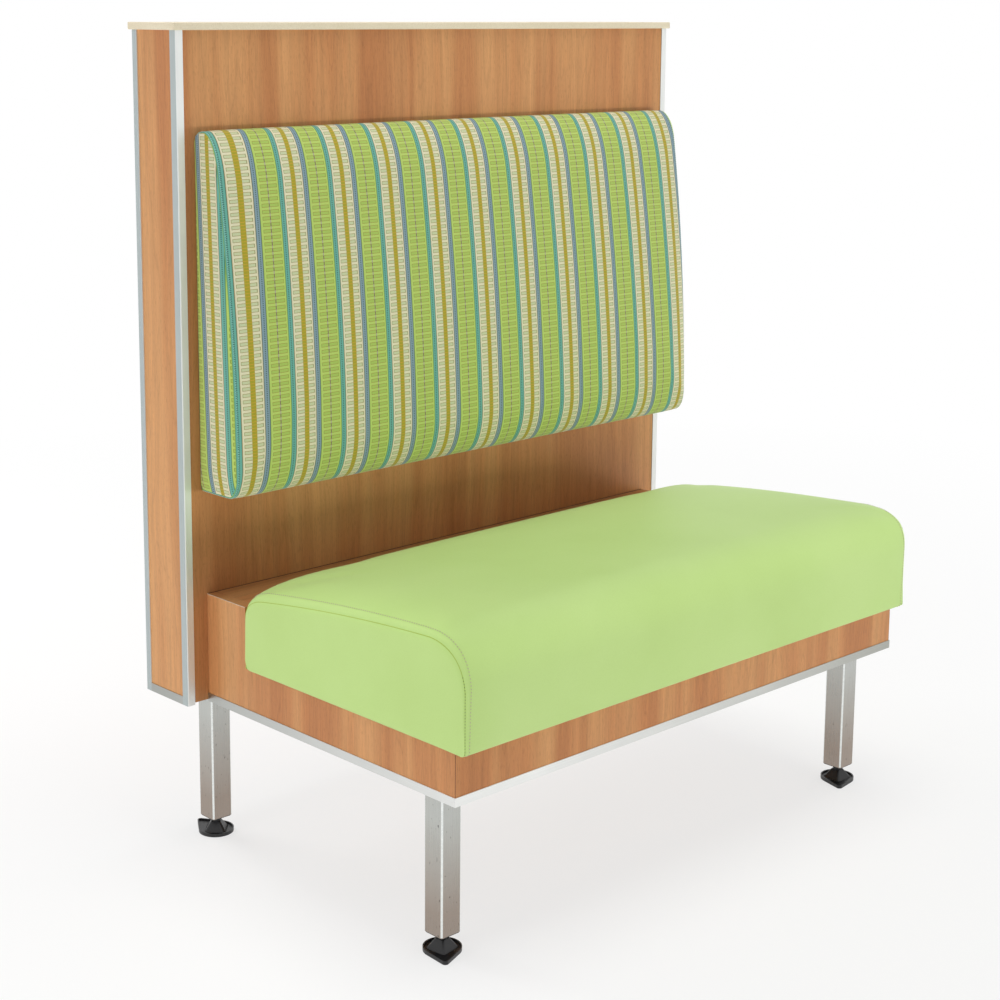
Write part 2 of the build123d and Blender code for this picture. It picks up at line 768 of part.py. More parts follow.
def save_fasteners():
    save_group("back_cushion_bolts", [back_bolt(x, z) for x, z in back_bolt_places()[0]])
    save_group("seat_bolts", [seat_bolt(x, z) for x, z in seat_bolt_places()[0]])
    screws = [raised_screw(x, y, deck_underside, screw_length) for x, y in deck_screw_places()]
    save_group("seat_cushion_screws", screws)


os.makedirs("parts", exist_ok=True)
save_wall()
save_seat_box()
save_legs()
save_cushions()
save_fasteners()
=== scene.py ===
# %% [markdown]
# # A restaurant booth
# The booth's solids are already modelled and packed: boards, trims, legs and feet. This
# lesson gives every piece a finish made of nodes, sews the two cushions, cuts the threads
# of the feet, and sets up a soft studio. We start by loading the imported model. Its frame
# is in metres: +Z up, the sitter faces -Y, and the origin is on the floor under the
# middle. Small sizes are written in mm.

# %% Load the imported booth
from math import cos, hypot, pi, radians, sin, sqrt, tau

import bmesh
import bpy
import numpy as np
from mathutils import Matrix, Vector


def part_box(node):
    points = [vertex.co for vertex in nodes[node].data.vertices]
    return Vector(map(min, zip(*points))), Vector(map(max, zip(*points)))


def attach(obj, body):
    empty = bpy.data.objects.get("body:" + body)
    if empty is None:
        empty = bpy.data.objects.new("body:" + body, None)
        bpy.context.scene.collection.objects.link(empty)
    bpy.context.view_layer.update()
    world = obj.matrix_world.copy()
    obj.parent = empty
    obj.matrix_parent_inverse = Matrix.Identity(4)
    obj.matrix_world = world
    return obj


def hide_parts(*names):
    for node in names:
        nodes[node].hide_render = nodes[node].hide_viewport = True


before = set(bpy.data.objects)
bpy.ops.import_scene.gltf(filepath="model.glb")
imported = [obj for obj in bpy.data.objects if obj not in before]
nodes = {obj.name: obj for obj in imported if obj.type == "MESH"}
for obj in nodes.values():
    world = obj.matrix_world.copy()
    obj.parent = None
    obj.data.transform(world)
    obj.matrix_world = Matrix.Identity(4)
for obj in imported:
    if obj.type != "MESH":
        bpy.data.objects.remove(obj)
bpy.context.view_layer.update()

MM = 0.001
scene = bpy.context.scene

# %% [markdown]
# The camera stands where a photographer would: a little above the wall's cap, to the
# sitter's left, with a portrait lens. A small lens shift keeps the uprights nearly
# parallel without tipping the camera up.

# %% The camera
EYE = (-2.1672, -2.1004, 1.2782)
YAW, PITCH, ROLL = 42.958, 10.109, 0.259  # degrees: right of +Y, down, anticlockwise
LENS_PER_WIDTH = 1.9519  # focal length as a share of the picture's width
SENSOR = 36  # mm


def linked(name, data):
    """A new object that carries this data, in the scene."""
    made = bpy.data.objects.new(name, data)
    scene.collection.objects.link(made)
    return made


camera_data = bpy.data.cameras.new("booth_camera")
camera_data.sensor_width = SENSOR
camera_data.lens = SENSOR * LENS_PER_WIDTH
camera_data.shift_x, camera_data.shift_y = 0.05, -0.14
scene.camera = linked("booth_camera", camera_data)
turn = (
    Matrix.Rotation(radians(-YAW), 4, "Z")
    @ Matrix.Rotation(radians(90 - PITCH), 4, "X")
    @ Matrix.Rotation(radians(ROLL), 4, "Z")
)
scene.camera.matrix_world = Matrix.Translation(EYE) @ turn
print("lens", round(camera_data.lens, 1), "mm")

# %% [markdown]
# Materials are built from nodes, and small helpers keep that readable. The first turns a
# painter's hex colour into the linear numbers that light adds up in. The next feeds a
# node's inputs, the third adds a node, sets it up and feeds it, and the last starts a
# material.

# %% Helpers for every material
def linear(hex_colour):
    """An sRGB colour such as #C68B5C as linear red, green, blue and full alpha."""
    parts = [int(hex_colour[i:i + 2], 16) / 255 for i in (1, 3, 5)]
    return (*[p / 12.92 if p <= 0.04045 else ((p + 0.055) / 1.055) ** 2.4 for p in parts], 1.0)


def feed(made, *numbered, **named):
    """Gives a node's inputs a value, or a link from a socket or from a node's first output.

    Inputs go in order, by name with _ for a space, or by number as _0, _6.
    """
    for key, value in [*enumerate(numbered), *named.items()]:
        if isinstance(key, str):
            key = int(key[1:]) if key[1:].isdigit() else key.replace("_", " ")
        if isinstance(value, bpy.types.Node):
            value = value.outputs[0]
        if isinstance(value, bpy.types.NodeSocket):
            made.id_data.links.new(value, made.inputs[key])
        else:
            made.inputs[key].default_value = value
    return made


def node(tree, kind, settings=None, *numbered, **named):
    """Adds a shader node, or another kind by its full name. Text as its settings is its operation.

    A colour ramp's settings hold its (place, hex colour) pairs: "stops" blend, "steps" don't.
    """
    made = tree.nodes.new(kind if "Node" in kind else "ShaderNode" + kind)
    if isinstance(settings, str):
        settings = {"operation": settings}
    for name, value in (settings or {}).items():
        if name not in ("stops", "steps"):
            setattr(made, name, value)
            continue
        ramp = made.color_ramp
        ramp.interpolation = "LINEAR" if name == "stops" else "CONSTANT"
        ramp.elements.remove(ramp.elements[-1])
        ramp.elements[0].position, ramp.elements[0].color = value[0][0], linear(value[0][1])
        for place, colour in value[1:]:
            ramp.elements.new(place).color = linear(colour)
    return feed(made, *numbered, **named)


def finish(name, **constants):
    """A new material; constants are set on the shader's own sockets."""
    material = bpy.data.materials.new(name)
    material.use_nodes = True
    tree = material.node_tree
    return material, tree, feed(tree.nodes["Principled BSDF"], **constants)


# %% [markdown]
# ## Wood-look laminate
# The boards are faced with a high-pressure laminate: a printed beech pattern under a
# satin resin film. A print has broad pale and reddish bands with dark growth lines that
# follow them, narrower streaks, and short pores, all drawn out along the grain. It could
# be an image, but noise needs no file and never repeats: one 3-D noise does each layer
# when its space is squeezed along the grain, and a sine of the bands draws the growth
# lines. The same print then turns the corner from face to face.

# %% Wood-look laminate
BAND, STREAK, FIBRE, PORE = 62, 8, 1.7, 1.2  # widths across the grain, in mm
RINGS_PER_BAND = 26  # dark growth lines that follow the bands' shapes


def beech_laminate(name, grain):
    """Printed beech with its grain along one axis: 0 is X, 1 is Y, 2 is Z."""
    material, tree, shader = finish(
        name, Roughness=0.45, Specular_IOR_Level=0.3, Coat_Weight=0.04, Coat_Roughness=0.25
    )
    place = node(tree, "TexCoord").outputs["Object"]
    sway = node(tree, "TexNoise", Vector=place, Scale=2.6, Detail=1.0).outputs["Color"]
    centred = node(tree, "VectorMath", "SUBTRACT", sway, (0.5, 0.5, 0.5))
    small = node(tree, "VectorMath", "SCALE", centred, Scale=0.03)
    swayed = node(tree, "VectorMath", "ADD", place, small)
    printed = []
    for width, stretch, detail in ((BAND, 18, 2.0), (STREAK, 60, 3.0), (FIBRE, 40, 1.0), (PORE, 7, 0.0)):
        scale = [1 / (width * MM)] * 3
        scale[grain] /= stretch
        squeezed = node(tree, "VectorMath", "MULTIPLY", swayed, scale)
        printed.append(node(tree, "TexNoise", Vector=squeezed, Scale=1.0, Detail=detail))
    band, streak, fibre, pore = printed
    colours = [(0.38, "#B87A4B"), (0.47, "#C08453"), (0.55, "#C78E5B"), (0.66, "#CD9662")]
    base = node(tree, "ValToRGB", {"stops": colours}, band)
    ring = node(tree, "Math", "MULTIPLY", band, RINGS_PER_BAND * pi)
    ring = node(tree, "Math", "SINE", ring)
    ring = node(tree, "Math", "ABSOLUTE", ring)
    # Each of these goes from dark to light a little; together they make the figure.
    shade = 1.0
    for layer_and_limits in (
        (ring, 0.0, 0.35, 0.90, 1.0),
        (streak, 0.3, 0.7, 0.91, 1.06),
        (fibre, 0.3, 0.7, 0.94, 1.05),
        (pore, 0.29, 0.41, 0.89, 1.0),
    ):
        layer = node(tree, "MapRange", None, *layer_and_limits)
        shade = node(tree, "Math", "MULTIPLY", shade, layer)
    toned = node(tree, "VectorMath", "SCALE", base, Scale=shade)
    rough = node(tree, "MapRange", None, fibre, 0.3, 0.7, 0.38, 0.48)
    relief = node(tree, "Bump", Strength=0.12, Distance=0.0002, Height=pore)
    feed(shader, Base_Color=toned, Roughness=rough, Normal=relief)
    return material


# Pressed against a satin plate: a soft, even sheen that never mirrors, over a lively print.
upright_beech = beech_laminate("printed_beech_laminate_upright", 2)
level_beech = beech_laminate("printed_beech_laminate_level", 0)
print("laminates:", upright_beech.name, level_beech.name)

# %% [markdown]
# ## Metals, plastics and plywood
# The trims are extruded aluminium with a satin anodised skin: fine die lines run along
# each length. The legs are square steel tube, ground along their length and then used,
# so they carry dark specks and scuffs; towards the floor they are painted warmer, a
# painted reflection. The studs are zinc plated, a touch bluer. One recipe makes them all:
# a noise stretched along the length gives the lines in colour, gloss and relief, and a
# second one the specks.

# %% Drawn and ground metal
def drawn_metal(
    name, colour, along, roughness, line=0.6, specks=0.0, metallic=1.0, painted_light_fade=None, painted_side_shade=None
):
    """Metal with lines along one axis, and line millimetres across each.

    specks is the scuffed share. The fade is (axis, start, end, colour): painted shade, or a painted
    reflection on the legs, going over to that colour between two places in metres. The side
    colour is painted shade for faces to the left or right.
    """
    material, tree, shader = finish(name, Metallic=metallic, Roughness=roughness)
    place = node(tree, "TexCoord").outputs["Object"]
    scale = [1 / (line * MM)] * 3
    scale[along] /= 160
    squeezed = node(tree, "VectorMath", "MULTIPLY", place, scale)
    lines = node(tree, "TexNoise", Vector=squeezed, Scale=1.0, Detail=1.0)
    cloud = node(tree, "TexNoise", Vector=place, Scale=14.0, Detail=3.0)
    both = node(tree, "Mix", _0=0.5, _2=lines, _3=cloud)
    shade = node(tree, "MapRange", None, both, 0.3, 0.7, 0.94, 1.06)
    # The fade is painted shade or a painted reflection: the tone goes over to its far colour along an axis.
    axis, start, end, painted_far_colour = painted_light_fade or (2, 0.0, 1.0, colour)
    reach = node(tree, "SeparateXYZ", None, place).outputs[axis]
    reach = node(tree, "MapRange", None, reach, start, end)
    tones = {"_6": linear(colour), "_7": linear(painted_far_colour)}
    tone = node(tree, "Mix", {"data_type": "RGBA"}, _0=reach, **tones).outputs[2]
    # Faces to the left or right take the side colour: painted shade.
    facing = node(tree, "NewGeometry").outputs["Normal"]
    painted_shade_sides = node(tree, "SeparateXYZ", None, facing)
    painted_shade_sides = node(tree, "Math", "ABSOLUTE", painted_shade_sides)
    painted_shade_sides = node(tree, "MapRange", None, painted_shade_sides, 0.6, 0.8)
    painted_side_tone = linear(painted_side_shade) if painted_side_shade else tone
    tone = node(tree, "Mix", {"data_type": "RGBA"}, _0=painted_shade_sides, _6=tone, _7=painted_side_tone).outputs[2]
    base = node(tree, "VectorMath", "SCALE", tone, Scale=shade)
    if specks:
        scale = [1 / (3.5 * MM)] * 3
        scale[along] /= 2.5
        spots = node(tree, "VectorMath", "MULTIPLY", place, scale)
        spot = node(tree, "TexNoise", Vector=spots, Scale=1.0, Detail=4.0)
        scuff = node(tree, "MapRange", None, spot, 0.70 - specks, 0.74 - specks, 1.0, 0.45)
        base = node(tree, "VectorMath", "SCALE", base, Scale=scuff)
    rough = node(tree, "MapRange", None, both, 0.3, 0.7, roughness - 0.06, roughness + 0.06)
    relief = node(tree, "Bump", Strength=0.15, Distance=0.0001, Height=lines)
    feed(shader, Base_Color=base, Roughness=rough, Normal=relief)
    return material


# Etched and anodised: a pale, milky gleam with fine lines along the length. The upright
# ones have painted shade, greyer and bluer, on their faces to the left and right; the ones
# that run front to back have painted shade towards the wall, and the front one towards its right end.
upright_trim = drawn_metal(
    "satin_anodised_aluminium_upright_painted_side_shade", "#E9EBE9", 2, 0.46, metallic=0.65, painted_side_shade="#B3BCBC"
)
sideways_trim = drawn_metal(
    "satin_anodised_aluminium_sideways_painted_shade", "#F0F1EF", 0, 0.34, painted_light_fade=(0, -0.35, 0.5, "#AFB0A9")
)
inward_trim = drawn_metal(
    "satin_anodised_aluminium_inward_painted_shade", "#E6E7E5", 1, 0.34, painted_light_fade=(1, -0.3, 0.3, "#ACAEAA")
)
# Ground with a belt: greyer and clearer than the trims, with a soft streaky mirror. Near
# the floor its tone is painted warmer and browner: a painted reflection.
leg_steel = drawn_metal(
    "ground_steel_tube_painted_reflection", "#BEC0BC", 2, 0.30, line=0.9, specks=0.02, painted_light_fade=(2, 0.2, 0.06, "#A3978D")
)
# Plated and passivated: bright and slightly blue.
zinc = drawn_metal("bright_zinc_plate", "#AEB6BA", 2, 0.30, line=0.4)
print("metals:", [m.name for m in (upright_trim, sideways_trim, inward_trim, leg_steel, zinc)])


# %% [markdown]
# A flat colour would look like paper, so one small recipe gives the plainer finishes a
# fine grit in colour, gloss and relief, each at its own size. Plywood's is drawn out
# along the sheet.

# %% Moulded plastic, cap laminate, plywood and foam
def mottled(name, low, high, grit, roughness, relief_strength, metallic=0.0, stretch=(1, 1, 1)):
    """A finish with a fine even grit in colour, gloss and relief."""
    material, tree, shader = finish(name, Metallic=metallic, Roughness=roughness)
    place = node(tree, "TexCoord").outputs["Object"]
    scale = [1 / (grit * MM * s) for s in stretch]
    squeezed = node(tree, "VectorMath", "MULTIPLY", place, scale)
    grain = node(tree, "TexNoise", Vector=squeezed, Scale=1.0, Detail=3.0)
    cloud = node(tree, "TexNoise", Vector=place, Scale=9.0)
    both = node(tree, "Mix", _0=0.35, _2=grain, _3=cloud)
    base = node(tree, "ValToRGB", {"stops": [(0.35, low), (0.65, high)]}, both)
    rough = node(tree, "MapRange", None, grain, 0.3, 0.7, roughness - 0.05, roughness + 0.05)
    relief = node(tree, "Bump", Strength=relief_strength, Distance=0.0003, Height=grain)
    feed(shader, Base_Color=base, Roughness=rough, Normal=relief)
    return material


# Cream laminate, pressed: even and matt, so the cap's edge reads as one pale line.
cap_laminate = mottled("cream_cap_laminate", "#D8CBAE", "#E3D8BF", 2.0, 0.45, 0.05)
# Injection moulded and stippled: near black, with a dull gleam on the rims.
black_nylon = mottled("moulded_black_nylon", "#101011", "#1C1C1E", 1.2, 0.38, 0.25)
# Moulded without a texture, and dusty: a flat black.
plug_plastic = mottled("black_plug_plastic", "#151516", "#202022", 1.5, 0.5, 0.15)
# Rotary-cut veneer, unfinished: dry and pale, with long soft fibres.
birch_ply = mottled("birch_plywood", "#B98F5F", "#D6B488", 1.4, 0.6, 0.3, stretch=(30, 4, 1))
# Foam cut with a blade: cream, open and without any gloss.
cut_foam = mottled("cut_foam", "#E2D7A8", "#EFE7C4", 1.6, 0.9, 0.6)
# The brown paper core of the laminate, cut through: a dark line. Laid in the ledge's
# joint with the wall it is painted shadow.
core_line_and_joint_shadow = mottled("laminate_core_edge_and_joint_shadow", "#4A2A17", "#5C3720", 3.0, 0.6, 0.1)
# A pale strip along an edge, a little shiny.
pale_edge = mottled("pale_laminate_edge", "#B9A88F", "#D8CDB9", 6.0, 0.5, 0.1)
print("grit finishes:", [m.name for m in (cap_laminate, black_nylon, plug_plastic, birch_ply, cut_foam)])

# %% [markdown]
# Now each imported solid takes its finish. A node's name says what it is, so a short list
# of name beginnings is enough. The first match wins.

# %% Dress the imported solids
LAMINATED = ("wall_front_panel", "wall_rear_panel", "wall_end_panel", "seat_side_panel", "seat_front_panel")
PLATED = ("leg_plate_screws", "foot_stud", "seat_bolts", "back_cushion_bolts", "seat_cushion_screws")
DRESS = [
    (cap_laminate, "wall_cap"),
    (level_beech, "ledge_top"),
    (upright_beech, LAMINATED),
    (upright_trim, "corner_trim"),
    (sideways_trim, "base_trim_front"),
    (inward_trim, ("wall_end_trim", "base_trim")),
    (zinc, PLATED),
    (leg_steel, ("leg_tube", "leg_plate")),
    (plug_plastic, "leg_plug"),
    (black_nylon, "foot_pad"),
    (cut_foam, ("seat_cushion_foam", "back_cushion_foam")),
    (birch_ply, ""),
]
for name, solid in nodes.items():
    solid.data.materials.clear()
    solid.data.materials.append(next(material for material, starts in DRESS if name.startswith(starts)))
print(len(nodes), "solids dressed")

# %% [markdown]
# ## The cushions' shapes
# In both cushions one long panel wraps the foam and a flat side panel closes each end,
# and the mesh is made the same way. A cross-section is drawn with lines and curves at many
# stations along X, which gives the wrap as a regular grid. Each side panel is a ladder:
# its outline goes out over the foam and straight back along the board with as many
# points, and rungs join the two runs. The seam is an edge loop, so stitches can follow it.

# %% Drawing a cross-section
def arc(start, middle, end, count):
    """Points on the circle through three points, without the last one."""
    (ax, ay), (bx, by), (cx, cy) = start, middle, end
    d = 2 * (ax * (by - cy) + bx * (cy - ay) + cx * (ay - by))
    a2, b2, c2 = ax * ax + ay * ay, bx * bx + by * by, cx * cx + cy * cy
    ux = (a2 * (by - cy) + b2 * (cy - ay) + c2 * (ay - by)) / d
    uy = (a2 * (cx - bx) + b2 * (ax - cx) + c2 * (bx - ax)) / d
    first, mid, last = (np.arctan2(y - uy, x - ux) for x, y in (start, middle, end))
    sweep = (last - first + pi) % tau - pi
    halfway = (mid - first + pi) % tau - pi
    if abs(halfway) > abs(sweep) or halfway * sweep < 0:
        sweep -= np.sign(sweep) * tau
    radius = hypot(ax - ux, ay - uy)
    angles = [first + sweep * i / count for i in range(count)]
    return [(ux + radius * cos(t), uy + radius * sin(t)) for t in angles]


def line(start, end, count):
    """Points on a straight run, without the last one."""
    return [
        (start[0] + (end[0] - start[0]) * i / count, start[1] + (end[1] - start[1]) * i / count)
        for i in range(count)
    ]


def bend(start, pull_a, pull_b, end, count):
    """A soft corner: a cubic curve that leaves start towards pull_a and comes in from pull_b."""
    points = []
    for i in range(count):
        t = i / count
        weights = ((1 - t) ** 3, 3 * t * (1 - t) ** 2, 3 * t * t * (1 - t), t ** 3)
        pulls = list(zip(weights, (start, pull_a, pull_b, end)))
        points.append(tuple(sum(w * p[k] for w, p in pulls) for k in (0, 1)))
    return points


def between(share, at_seam, inside):
    """A point part of the way from its place on the seam to its place inside the cushion."""
    return tuple(a + (b - a) * share for a, b in zip(at_seam, inside))


def walked(points):
    """The distance walked along the points, at each of them."""
    total = [0.0]
    for (y0, z0), (y1, z1) in zip(points, points[1:]):
        total.append(total[-1] + hypot(y1 - y0, z1 - z0))
    return total


def and_back(out, turn):
    """Closes an outline: from its turning point straight back, with a point for each on the way out."""
    so_far = walked(out + [turn])
    back_run = [between(1 - so_far[i] / so_far[-1], turn, out[0]) for i in range(len(out), 0, -1)]
    return out + back_run


# %% [markdown]
# The seat cushion sits on the deck, 315 mm up. Its top swells inward from the side seams
# over a shoulder, and rises a little more to the middle, where it is 485 mm up. So each
# turning point of the section has a place on the seam and a place inside the cushion.

# %% Seat cushion: cross-section at one station
SEAT_HALF, SEAT_REAR, SEAT_FRONT, DECK = 498.0, 136.6, -340.4, 315.0


def inside_by(x, half, width):
    """0 at the side seam and 1 from that many mm inside it."""
    return max(0.0, min(1.0, (half - abs(x)) / width))


def seat_swell(x, shoulder=114):
    """0 at the side seam, 1 inside the shoulder: a quarter of a full, square-ish oval."""
    return (1 - (1 - inside_by(x, SEAT_HALF, shoulder)) ** 2.5) ** 0.4


def seat_section(x):
    swell = seat_swell(x)
    crown = 3 * (1 - (x / SEAT_HALF) ** 2)
    rear_top = between(swell, (SEAT_REAR, 396), (SEAT_REAR, 407))
    rear_roll = between(swell, (SEAT_REAR, 412), (SEAT_REAR, 430 + crown))
    rear_pull = between(swell, (122, 424.5), (118, 449 + crown))
    rear_crest = between(swell, (94, 428.5), (86, 455 + crown))
    top_mid = between(swell, (-93, 452), (-90, 474 + crown))
    swell = seat_swell(x, 70)  # the front fills out closer to the seam,
    right = (x / SEAT_HALF + 1) / 2  # and is squarer at the right end
    crest = between(swell, between(right, (-268, 464), (-268, 469)), (-258, 480 + crown))
    nose_pull = between(swell, between(right, (-300, 463), (-300, 472)), (-300, 483 + crown))
    nose_roll = between(swell, between(right, (-333, 448), (-334, 468)), (-342, 468))
    nose = between(swell, between(right, (-338.5, 404), (-337, 432)), (-345, 412))
    toe = (SEAT_FRONT + 1, DECK + 5)
    under = (SEAT_FRONT + 6, DECK)
    out = [
        *line((SEAT_REAR, DECK), rear_top, 7),
        *bend(rear_top, rear_roll, rear_pull, rear_crest, 8),
        *arc(rear_crest, top_mid, crest, 30),
        *bend(crest, nose_pull, nose_roll, nose, 12),
        *line(nose, toe, 8),
        *arc(toe, (SEAT_FRONT + 2.5, DECK + 1.5), under, 3),
    ]
    return and_back(out, under)


crown_height = max(z for y, z in seat_section(0))
print("seat section:", len(seat_section(0)), "points, crown at", round(crown_height), "mm")

# %% [markdown]
# The back cushion is a wedge: about 60 mm thick at the top and 100 mm near the bottom.
# It is plump to within 50 mm of its side seams, with a long soft roll at the bottom.

# %% Back cushion: cross-section at one station
BACK_HALF, WALL_Y = 502.0, 234.6


def back_section(x):
    swell = sqrt(1 - (1 - inside_by(x, BACK_HALF, 50)) ** 2)
    crown = 1.5 * (1 - (x / BACK_HALF) ** 2)

    def place(seam, inside):
        depth, height = between(swell, seam, inside)
        return (WALL_Y - depth, height)

    rear_top = place((0, 1095), (0, 1100))
    top = place((20, 1106), (20, 1108 + crown))
    shoulder = place((51.5, 1066), (60 + crown, 1027))
    knee = place((88, 596), (98 + crown, 640))
    toe = place((70, 572), (62, 567.5))
    heel = (WALL_Y, toe[1])
    shoulder_pulls = place((34, 1106), (38, 1108 + crown)), place((48, 1090), (55 + crown, 1064))
    knee_pulls = place((88, 582), (98 + crown, 606)), place((80, 572), (88, 567.5))
    out = [
        *bend(rear_top, place((1, 1101), (1, 1106)), place((9, 1106), (8, 1108 + crown)), top, 4),
        *bend(top, *shoulder_pulls, shoulder, 10),
        *arc(shoulder, place((78, 833), (83.5 + crown, 833)), knee, 38),
        *bend(knee, *knee_pulls, toe, 10),
        *line(toe, heel, 6),
    ]
    return and_back(out, heel)


print("back section:", len(back_section(0)), "points")


# %% [markdown]
# The grid has more stations near the seams, where the cloth turns sharply. One lies
# exactly where the row of topstitching will go.

# %% From sections to a closed mesh
def stations(half, topstitch, step):
    """Places along X, close together by the seams. The third is the topstitch row."""
    edge = [half - away for away in (0, topstitch * 0.3, *(topstitch + more for more in (0, 3, 8, 16)))]
    span = edge[-1]
    count = int(2 * span / step)
    middle = [span - 2 * span * i / count for i in range(1, count)]
    return [-x for x in edge + middle] + edge[::-1]


RUNG_POINTS = (0.03, 0.1, 0.24, 0.42, 0.6, 0.78, 0.92)  # shares of a rung's length


def hoop(mesh, lower, upper):
    """Faces all the way round between two closed rings."""
    for j in range(len(lower)):
        k = (j + 1) % len(lower)
        mesh.faces.new((lower[j], lower[k], upper[k], upper[j]))


def mesh_object(name, mesh, *materials):
    """The bmesh as an object in the scene, with its faces turned outward."""
    bmesh.ops.recalc_face_normals(mesh, faces=mesh.faces[:])
    data = bpy.data.meshes.new(name)
    mesh.to_mesh(data)
    mesh.free()
    for material in materials:
        data.materials.append(material)
    return linked(name, data)


def sewn_form(name, section, half, topstitch, step):
    """The closed mesh, and the point indices of its seams and its topstitch rows."""
    xs = stations(half, topstitch, step)
    mesh = bmesh.new()
    mesh.loops.layers.uv.new("cloth")
    panel = mesh.faces.layers.int.new("panel")  # 0 on the wrap, 1 on the side panels
    rows = [[mesh.verts.new(Vector((x, y, z)) * MM) for y, z in section(x)] for x in xs]
    for near, far in zip(rows, rows[1:]):
        hoop(mesh, near, far)
    count = len(rows[0])
    for ring in (rows[0], rows[-1]):
        rungs = [[ring[0]]]
        for i in range(1, count // 2):
            near, far = ring[i], ring[-i]
            inner = [mesh.verts.new(near.co.lerp(far.co, share)) for share in RUNG_POINTS]
            rungs.append([near, *inner, far])
        rungs.append([ring[count // 2]])
        for lower, upper in zip(rungs, rungs[1:]):
            if len(lower) == 1 or len(upper) == 1:
                mesh.faces.new(lower + upper[::-1])[panel] = 1
                continue
            for j in range(len(lower) - 1):
                mesh.faces.new((lower[j], lower[j + 1], upper[j + 1], upper[j]))[panel] = 1
    mesh.verts.index_update()
    sewn = count // 2 + 1  # the way out; the way back is on the board
    seams, stitched = [[[v.index for v in rows[i][:sewn]] for i in pair] for pair in ((0, -1), (2, -3))]
    made = mesh_object(name, mesh)
    print(name, len(made.data.vertices), "points,", len(made.data.polygons), "faces")
    return made, seams, stitched


seat, seat_seams, seat_rows = sewn_form("seat_cushion", seat_section, SEAT_HALF, topstitch=8.5, step=12)
back, back_seams, back_rows = sewn_form("back_cushion", back_section, BACK_HALF, topstitch=3.4, step=10)

# %% [markdown]
# ## Lay out the cloth
# A pattern must follow the cloth, so each face corner gets its place on the flat cloth,
# in millimetres: across the stripes, and along them. On the wrap that is X and the
# distance walked round the section. On the side panels it is the depth from the wall,
# where the cutter laid the cloth a little askew, and the height.

# %% Places on the flat cloth
STRIPE_REPEAT = 96.2  # mm
CLOTH_MIDDLE = 500  # mm across the cloth at the middle of the wrap
EASED = 60  # mm beside the left seam, over which the stripes are eased to meet it
TEAL_WIDTH = 4.6  # mm, the stripe beside the side panel's front seam


def across_wrap(x, z):
    """Across the stripes on the wrap. A teal stripe starts at the left seam."""
    ease = 1.009 + 0.019 * max(-0.3, min(1.3, (z - 669) / 335))
    near = EASED - BACK_HALF
    if x > near:
        return CLOTH_MIDDLE + x * ease
    inside = CLOTH_MIDDLE + near * ease
    return inside + (x - near) * (inside + 4.0) / EASED


def across_side(depth, z):
    """Across the stripes on a side panel: askew, and drawn forward at the bottom corner."""
    drawn = 5 * max(0.0, min(1.3, (620 - z) / 36)) ** 2
    flat = 72.9 - depth - 0.036 * (z - 590) + drawn
    return flat if flat > TEAL_WIDTH else TEAL_WIDTH + (flat - TEAL_WIDTH) * 0.72


def faces(data, wanted):
    """The wrap's faces (0) or the side panels' (1): per corner its loop, point and place in mm."""
    panel = data.attributes["panel"].data
    for polygon in data.polygons:
        if panel[polygon.index].value == wanted:
            points = [data.loops[loop].vertex_index for loop in polygon.loop_indices]
            places = [[c / MM for c in data.vertices[point].co] for point in points]
            yield list(zip(polygon.loop_indices, points, places))


def lay_wrap(data, section):
    """Lays the wrap: millimetres across and along the cloth, in the mesh's own UV map."""
    count = len(section(0))
    lengths = {}
    for corners in faces(data, 0):
        steps = [point % count for loop, point, place in corners]
        wraps = max(steps) - min(steps) > 1
        for step, (loop, point, (x, y, z)) in zip(steps, corners):
            if round(x, 2) not in lengths:
                outline = section(x)
                lengths[round(x, 2)] = walked(outline + outline[:1])
            along = lengths[round(x, 2)][step + count if wraps and step == 0 else step]
            data.uv_layers["cloth"].data[loop].uv = (across_wrap(x, z), along)


def lay_panels(data):
    """Lays the two side panels by where each point is."""
    for corners in faces(data, 1):
        for loop, point, (x, y, z) in corners:
            data.uv_layers["cloth"].data[loop].uv = (across_side(WALL_Y - y, z), z)


lay_wrap(seat.data, seat_section)
lay_wrap(back.data, back_section)
print("cloth round the back cushion:", round(walked(back_section(0))[-1]), "mm")

# %% [markdown]
# ## Fill the cushions
# Real upholstery is cloth pulled over foam that pushes back. Blender's cloth solver does
# that here: the seams and the undersides are pinned, a little pressure inflates the
# panels between them, and gravity is off. The solver swells a panel far more than foam
# would, so only a share of each move is kept, with a cap.

# %% Inflate with the cloth solver
SOLVED_FRAMES = 20


